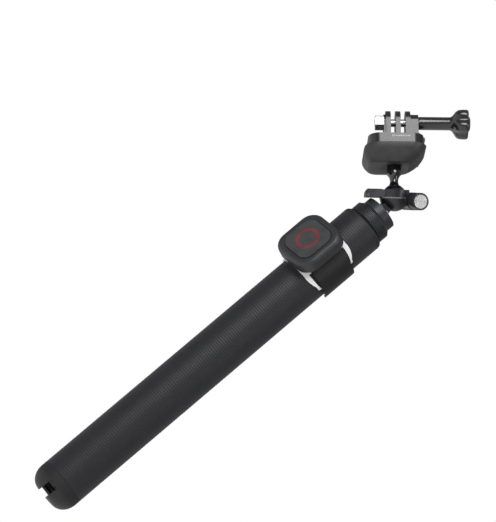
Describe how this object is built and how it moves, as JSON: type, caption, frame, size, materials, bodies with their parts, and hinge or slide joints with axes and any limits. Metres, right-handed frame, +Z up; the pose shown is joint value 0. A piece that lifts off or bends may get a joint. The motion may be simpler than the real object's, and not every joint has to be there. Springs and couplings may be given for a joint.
{
  "type": "telescopic camera stick",
  "caption": "Telescopic action-camera stick with ribbed grip, tilting ball clamp, quick-release prong mount with thumb screw, and a clip-on shutter remote.",
  "frame": {"origin": "centre of the round butt end of the grip", "axes": "+Z up the grip towards the head, -Y towards the side that the remote's button faces, +X to the right of that view"},
  "size_m": [0.0661, 0.0525, 0.3556],
  "materials": {
    "grip_rubber": "matte, finely ribbed",
    "tube_metal": "black anodised",
    "cap_plastic": "matte",
    "pole_metal": "black anodised, satin",
    "bush_plastic": "plain",
    "collar_metal": "satin dark grey",
    "clamp_metal": "fine textured dark grey",
    "knob_plastic": "satin",
    "spun_metal": "spun face",
    "steel": "bright",
    "liner_nylon": "nylon",
    "stud_black": "glossy black",
    "base_plastic": "matte dark grey",
    "cover_plastic": "matte",
    "magnet_nickel": "nickel plated",
    "plate_plastic": "semi-gloss",
    "thumb_plastic": "glossy black",
    "clip_plastic": "satin",
    "pad_silicone": "soft white",
    "remote_plastic": "fine matte",
    "seal_rubber": "soft",
    "cell_steel": "bright",
    "board_green": "solder mask",
    "button_rubber": "matte",
    "ring_red": "dark red"
  },
  "bodies": {
    "grip": {"grip_tube": "tube_metal", "grip_sleeve": "grip_rubber", "butt_cap": "cap_plastic", "lanyard_bar": "steel", "mouth_ring": "cap_plastic", "mouth_bush": "bush_plastic"},
    "pole_1": {"pole_tube_1": "pole_metal", "slider_1": "bush_plastic", "bush_1": "bush_plastic"},
    "pole_2": {"pole_tube_2": "pole_metal", "slider_2": "bush_plastic", "bush_2": "bush_plastic"},
    "pole_3": {"pole_tube_3": "pole_metal", "slider_3": "bush_plastic", "bush_3": "bush_plastic"},
    "pole_4": {"pole_tube_4": "pole_metal", "slider_4": "bush_plastic", "bush_4": "bush_plastic"},
    "pole_5": {"pole_tube_5": "pole_metal", "slider_5": "bush_plastic", "pull_collar": "collar_metal", "head_base": "collar_metal", "head_pin": "steel", "tilt_pin": "steel"},
    "clamp": {"clamp_body": "clamp_metal", "clamp_nut": "steel", "lug_pin": "steel"},
    "jaw": {"clamp_jaw": "clamp_metal"},
    "knob": {"clamp_knob": "knob_plastic", "knob_disc": "spun_metal", "clamp_screw": "steel"},
    "liner": {"socket_liner": "liner_nylon"},
    "stud": {"ball_stud": "stud_black", "stud_retainer": "steel"},
    "base": {"qr_base": "base_plastic", "base_cover": "cover_plastic", "base_magnets": "magnet_nickel", "base_screws": "steel"},
    "plate": {"qr_plate": "plate_plastic", "plate_magnets": "magnet_nickel", "prong_nut": "steel"},
    "latch_l": {"latch_left": "plate_plastic"},
    "latch_r": {"latch_right": "plate_plastic"},
    "thumb_screw": {"thumb_knob": "thumb_plastic", "thumb_bolt": "steel"},
    "clip": {"remote_clip": "clip_plastic", "clip_pad": "pad_silicone"},
    "remote": {"remote_base": "remote_plastic", "remote_top": "remote_plastic", "remote_seal": "seal_rubber", "coin_cell": "cell_steel", "remote_circuit": "board_green", "remote_switch": "steel", "remote_screws": "steel"},
    "button": {"button_panel": "button_rubber", "button_ring": "ring_red"}
  },
  "joints": [
    {"name": "pole_1_slide", "type": "slide", "parent": "grip", "child": "pole_1", "axis": [0, 0, 1], "range_m": [0, 0.18]},
    {"name": "pole_2_slide", "type": "slide", "parent": "pole_1", "child": "pole_2", "axis": [0, 0, 1], "range_m": [0, 0.18]},
    {"name": "pole_3_slide", "type": "slide", "parent": "pole_2", "child": "pole_3", "axis": [0, 0, 1], "range_m": [0, 0.18]},
    {"name": "pole_4_slide", "type": "slide", "parent": "pole_3", "child": "pole_4", "axis": [0, 0, 1], "range_m": [0, 0.18]},
    {"name": "pole_5_slide", "type": "slide", "parent": "pole_4", "child": "pole_5", "axis": [0, 0, 1], "range_m": [0, 0.18]},
    {"name": "clamp_tilt", "type": "hinge", "parent": "pole_5", "child": "clamp", "pos_m": [0, 0, 0.2692], "axis": [-0.2028, 0.9792, 0], "range_deg": [0, 45]},
    {"name": "jaw_open", "type": "hinge", "parent": "clamp", "child": "jaw", "pos_m": [-0.01039, -0.00308, 0.2723], "axis": [0.7501, 0.1553, -0.6428], "range_deg": [0, 1]},
    {"name": "knob_turn", "type": "hinge", "parent": "jaw", "child": "knob", "pos_m": [0.00614, 0.00201, 0.28845], "axis": [0.2462, -0.9677, 0.0534], "range_deg": [0, 180]},
    {"name": "ball_pan", "type": "hinge", "parent": "clamp", "child": "liner", "pos_m": [-0.00235, -0.00049, 0.28231], "axis": [-0.7501, -0.1553, 0.6428], "continuous": true},
    {"name": "ball_tilt", "type": "hinge", "parent": "liner", "child": "stud", "pos_m": [-0.00235, -0.00049, 0.28231], "axis": [-0.6592, 0.0981, -0.7456], "range_deg": [-49, 9]},
    {"name": "ball_spin", "type": "hinge", "parent": "stud", "child": "base", "pos_m": [-0.00235, -0.00049, 0.28231], "axis": [-0.7221, 0.1942, 0.664], "continuous": true},
    {"name": "plate_lift", "type": "slide", "parent": "base", "child": "plate", "axis": [-0.7221, 0.1942, 0.664], "range_m": [0, 0.02]},
    {"name": "latch_left_press", "type": "slide", "parent": "plate", "child": "latch_l", "axis": [0.6504, -0.1365, 0.7472], "range_m": [0, 0.0015], "stiffness_N_per_m": 900},
    {"name": "latch_right_press", "type": "slide", "parent": "plate", "child": "latch_r", "axis": [-0.6504, 0.1365, -0.7472], "range_m": [0, 0.0015], "stiffness_N_per_m": 900},
    {"name": "thumb_turn", "type": "hinge", "parent": "plate", "child": "thumb_screw", "pos_m": [-0.03575, 0.0086, 0.31652], "axis": [0.6504, -0.1365, 0.7472], "continuous": true},
    {"name": "clip_slide", "type": "slide", "parent": "grip", "child": "clip", "axis": [0, 0, 1], "range_m": [-0.17, 0.01]},
    {"name": "remote_release", "type": "slide", "parent": "clip", "child": "remote", "axis": [-0.682, -0.7314, 0], "range_m": [0, 0.02]},
    {"name": "button_press", "type": "slide", "parent": "remote", "child": "button", "axis": [0.682, 0.7314, 0], "range_m": [0, 0.0003], "stiffness_N_per_m": 1500}
  ],
  "couplings": [
    {"joint": "jaw_open", "follows": "knob_turn", "ratio": 0.0055556}
  ]
}
